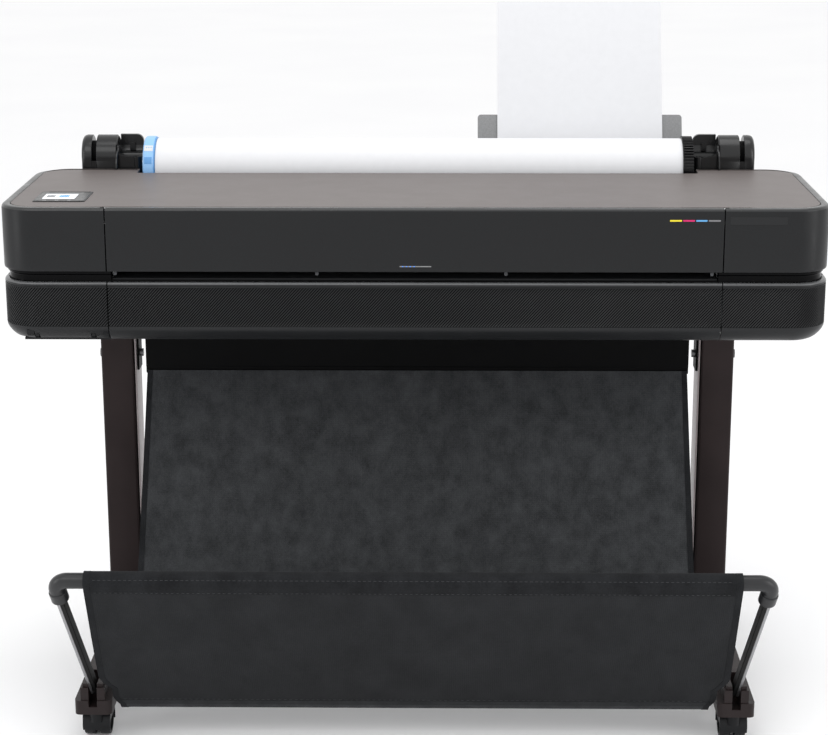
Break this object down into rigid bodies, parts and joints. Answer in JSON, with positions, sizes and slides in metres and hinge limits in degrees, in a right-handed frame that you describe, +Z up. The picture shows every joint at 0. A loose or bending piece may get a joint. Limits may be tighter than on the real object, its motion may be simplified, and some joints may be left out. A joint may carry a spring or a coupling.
{
  "type": "large format plotter",
  "caption": "Wide roll-fed inkjet plotter on a two-leg wheeled stand, with a cloth catch basket below and a leaning sheet feeder behind the roll.",
  "frame": {"origin": "on the floor, under the middle of the overall box", "axes": "+X to the right seen from the front, +Y to the back, +Z up"},
  "size_m": [1.317, 0.8344, 1.1415],
  "materials": {
    "cover_black": "fine satin moulded covers of the upper head",
    "cover_lower": "moulded lower covers with fine diagonal ribs",
    "top_panel": "warm grey-brown fine-textured panel",
    "neck_black": "gloss black recess",
    "holder_black": "satin",
    "leg_paint": "satin powder coat, dark brown-black",
    "foot_paint": "satin dark brown moulding",
    "brace_paint": "matt black",
    "bolt_steel": "blackened",
    "caster_plastic": "moulded",
    "wheel_rubber": "tread",
    "tube_paint": "semi-gloss",
    "arm_metal": "satin outer face",
    "basket_cloth": "non-woven, matt",
    "steel": "zinc plated",
    "roller_rubber": "coated shaft",
    "gear_brass": "turned",
    "motor_steel": "can",
    "inner_plastic": "moulded",
    "chrome": "ground rod",
    "belt_rubber": "toothed belt",
    "glass_black": "display glass",
    "ink_black": "label colour black",
    "ink_cyan": "label colour blue",
    "ink_magenta": "label colour magenta",
    "ink_yellow": "label colour yellow",
    "board_green": "circuit board",
    "hub_blue": "bright blue hub",
    "hub_black": "ribbed hub",
    "paper_white": "uncoated roll paper",
    "support_grey": "grey sheet support"
  },
  "bodies": {
    "root": {"leg_left": "leg_paint", "leg_right": "leg_paint", "foot_left": "foot_paint", "foot_right": "foot_paint", "cross_brace": "brace_paint", "stand_bolts": "bolt_steel", "basket_back_cloth": "basket_cloth", "chassis": "steel", "lower_front_cover": "cover_lower", "lower_right_cover": "cover_lower", "neck_frame": "neck_black", "left_end_cover": "cover_black", "right_end_cover": "cover_black", "top_panel": "top_panel", "display_panel": "glass_black", "rear_cover": "cover_lower", "rear_deck": "cover_lower", "platen": "inner_plastic", "drive_motors": "motor_steel", "carriage_rail": "chrome", "drive_belt": "belt_rubber", "service_station": "inner_plastic", "ink_bay": "inner_plastic", "main_board": "board_green", "power_supply": "steel", "roll_holder_left": "holder_black", "roll_holder_right": "holder_black", "sheet_feeder": "cover_black"},
    "basket": {"basket_tube": "tube_paint", "basket_arms": "arm_metal", "basket_front_cloth": "basket_cloth"},
    "ink_door": {"ink_door": "cover_lower"},
    "window": {"front_window": "cover_black"},
    "feed_roller": {"feed_roller": "roller_rubber"},
    "feed_pinion": {"feed_pinion": "gear_brass"},
    "pinch_rollers": {"pinch_rollers": "roller_rubber"},
    "carriage": {"carriage": "inner_plastic"},
    "drive_pulley": {"drive_pulley": "steel"},
    "idler_pulley": {"idler_pulley": "steel"},
    "cartridge_1": {"ink_cartridge_1": "ink_black"},
    "cartridge_2": {"ink_cartridge_2": "ink_cyan"},
    "cartridge_3": {"ink_cartridge_3": "ink_magenta"},
    "cartridge_4": {"ink_cartridge_4": "ink_yellow"},
    "power_switch": {"power_switch": "hub_black"},
    "roll": {"spindle_rod": "steel", "roll_hub_left": "hub_blue", "roll_hub_right": "hub_black", "media_roll": "paper_white"},
    "roll_pinion": {"roll_pinion": "gear_brass"},
    "sheet_support": {"sheet_support": "support_grey"},
    "sheet_guide": {"sheet_guide": "inner_plastic"},
    "paper": {"paper_sheet": "paper_white"},
    "hood_front_left": {"caster_hood_front_left": "caster_plastic"},
    "wheels_front_left": {"caster_wheels_front_left": "wheel_rubber"},
    "hood_front_right": {"caster_hood_front_right": "caster_plastic"},
    "wheels_front_right": {"caster_wheels_front_right": "wheel_rubber"},
    "hood_rear_left": {"caster_hood_rear_left": "caster_plastic"},
    "wheels_rear_left": {"caster_wheels_rear_left": "wheel_rubber"},
    "hood_rear_right": {"caster_hood_rear_right": "caster_plastic"},
    "wheels_rear_right": {"caster_wheels_rear_right": "wheel_rubber"}
  },
  "joints": [
    {"name": "window_hinge", "type": "hinge", "parent": "root", "child": "window", "pos_m": [0, -0.1927, 0.8705], "axis": [-1, 0, 0], "range_deg": [0, 85]},
    {"name": "ink_door_hinge", "type": "hinge", "parent": "root", "child": "ink_door", "pos_m": [-0.557, -0.1932, 0.668], "axis": [1, 0, 0], "range_deg": [0, 80]},
    {"name": "basket_fold", "type": "hinge", "parent": "root", "child": "basket", "pos_m": [0, -0.2702, 0.09], "axis": [-1, 0, 0], "range_deg": [0, 48]},
    {"name": "roll_spin", "type": "hinge", "parent": "root", "child": "roll", "pos_m": [0, 0.1988, 0.873], "axis": [1, 0, 0], "continuous": true},
    {"name": "roll_pinion_spin", "type": "hinge", "parent": "root", "child": "roll_pinion", "pos_m": [0.47, 0.15156, 0.82576], "axis": [1, 0, 0], "continuous": true},
    {"name": "feed_roller_spin", "type": "hinge", "parent": "root", "child": "feed_roller", "pos_m": [0, -0.0522, 0.75], "axis": [1, 0, 0], "continuous": true},
    {"name": "feed_pinion_spin", "type": "hinge", "parent": "root", "child": "feed_pinion", "pos_m": [0.488, -0.0219, 0.75], "axis": [1, 0, 0], "continuous": true},
    {"name": "pinch_rollers_spin", "type": "hinge", "parent": "root", "child": "pinch_rollers", "pos_m": [0, -0.0522, 0.7723], "axis": [1, 0, 0], "continuous": true},
    {"name": "carriage_travel", "type": "slide", "parent": "root", "child": "carriage", "axis": [-1, 0, 0], "range_m": [0, 1.11]},
    {"name": "drive_pulley_spin", "type": "hinge", "parent": "root", "child": "drive_pulley", "pos_m": [-0.61, -0.0642, 0.84], "axis": [0, 1, 0], "range_deg": [-5400, 5400]},
    {"name": "idler_pulley_spin", "type": "hinge", "parent": "root", "child": "idler_pulley", "pos_m": [0.61, -0.0642, 0.84], "axis": [0, 1, 0], "range_deg": [-5400, 5400]},
    {"name": "cartridge_1_pull", "type": "slide", "parent": "root", "child": "cartridge_1", "axis": [0, -1, 0], "range_m": [0, 0.044]},
    {"name": "cartridge_2_pull", "type": "slide", "parent": "root", "child": "cartridge_2", "axis": [0, -1, 0], "range_m": [0, 0.044]},
    {"name": "cartridge_3_pull", "type": "slide", "parent": "root", "child": "cartridge_3", "axis": [0, -1, 0], "range_m": [0, 0.044]},
    {"name": "cartridge_4_pull", "type": "slide", "parent": "root", "child": "cartridge_4", "axis": [0, -1, 0], "range_m": [0, 0.044]},
    {"name": "switch_rock", "type": "hinge", "parent": "root", "child": "power_switch", "pos_m": [-0.25, 0.2318, 0.7], "axis": [1, 0, 0], "range_deg": [-6, 6]},
    {"name": "sheet_support_slide", "type": "slide", "parent": "root", "child": "sheet_support", "axis": [0, -0.3859, -0.9225], "range_m": [0, 0.08]},
    {"name": "sheet_guide_slide", "type": "slide", "parent": "root", "child": "sheet_guide", "axis": [-1, 0, 0], "range_m": [0, 0.027]},
    {"name": "paper_lift", "type": "slide", "parent": "root", "child": "paper", "axis": [0, 0.3859, 0.9225], "range_m": [0, 0.12]},
    {"name": "swivel_front_left", "type": "hinge", "parent": "root", "child": "hood_front_left", "pos_m": [-0.522, -0.2642, 0.048], "axis": [0, 0, 1], "continuous": true},
    {"name": "roll_front_left", "type": "hinge", "parent": "hood_front_left", "child": "wheels_front_left", "pos_m": [-0.522, -0.2422, 0.025], "axis": [1, 0, 0], "continuous": true},
    {"name": "swivel_front_right", "type": "hinge", "parent": "root", "child": "hood_front_right", "pos_m": [0.522, -0.2642, 0.048], "axis": [0, 0, 1], "continuous": true},
    {"name": "roll_front_right", "type": "hinge", "parent": "hood_front_right", "child": "wheels_front_right", "pos_m": [0.522, -0.2422, 0.025], "axis": [1, 0, 0], "continuous": true},
    {"name": "swivel_rear_left", "type": "hinge", "parent": "root", "child": "hood_rear_left", "pos_m": [-0.522, 0.2608, 0.048], "axis": [0, 0, 1], "continuous": true},
    {"name": "roll_rear_left", "type": "hinge", "parent": "hood_rear_left", "child": "wheels_rear_left", "pos_m": [-0.522, 0.2828, 0.025], "axis": [1, 0, 0], "continuous": true},
    {"name": "swivel_rear_right", "type": "hinge", "parent": "root", "child": "hood_rear_right", "pos_m": [0.522, 0.2608, 0.048], "axis": [0, 0, 1], "continuous": true},
    {"name": "roll_rear_right", "type": "hinge", "parent": "hood_rear_right", "child": "wheels_rear_right", "pos_m": [0.522, 0.2828, 0.025], "axis": [1, 0, 0], "continuous": true}
  ],
  "couplings": [
    {"joint": "roll_pinion_spin", "follows": "roll_spin", "ratio": -3.75},
    {"joint": "feed_pinion_spin", "follows": "feed_roller_spin", "ratio": -2.3333},
    {"joint": "pinch_rollers_spin", "follows": "feed_roller_spin", "ratio": -2.6667},
    {"joint": "drive_pulley_spin", "follows": "carriage_travel", "rad_per_m": 83.333},
    {"joint": "idler_pulley_spin", "follows": "carriage_travel", "rad_per_m": 83.333}
  ]
}
